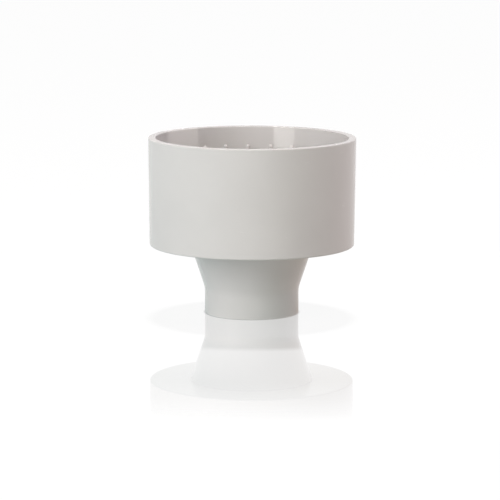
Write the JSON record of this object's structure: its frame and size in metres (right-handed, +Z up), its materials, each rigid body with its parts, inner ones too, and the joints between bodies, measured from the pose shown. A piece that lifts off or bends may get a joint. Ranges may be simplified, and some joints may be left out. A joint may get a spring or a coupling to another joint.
{
  "type": "buchner funnel",
  "caption": "Two-piece plastic Buchner funnel: a wide cylindrical bowl with guide ribs and a loose perforated plate, lifting off a short conical shoulder and wide stem.",
  "frame": {"origin": "centre of the stem's bottom face, on the surface the funnel stands on", "axes": "+Z up along the funnel's axis, towards the bowl's open rim; +Y away from the front"},
  "size_m": [0.108, 0.108, 0.092],
  "materials": {
    "moulded_plastic": "satin gloss",
    "plate_plastic": "satin",
    "seal_rubber": "matt"
  },
  "bodies": {
    "base": {"base": "moulded_plastic"},
    "bowl": {"bowl": "moulded_plastic", "outlet_seal": "seal_rubber", "plate_gasket": "seal_rubber"},
    "plate": {"filter_plate": "plate_plastic"}
  },
  "joints": [
    {"name": "bowl_lift", "type": "slide", "parent": "base", "child": "bowl", "axis": [0, 0, 1], "range_m": [0, 0.04]},
    {"name": "plate_lift", "type": "slide", "parent": "bowl", "child": "plate", "axis": [0, 0, 1], "range_m": [0, 0.06]}
  ]
}
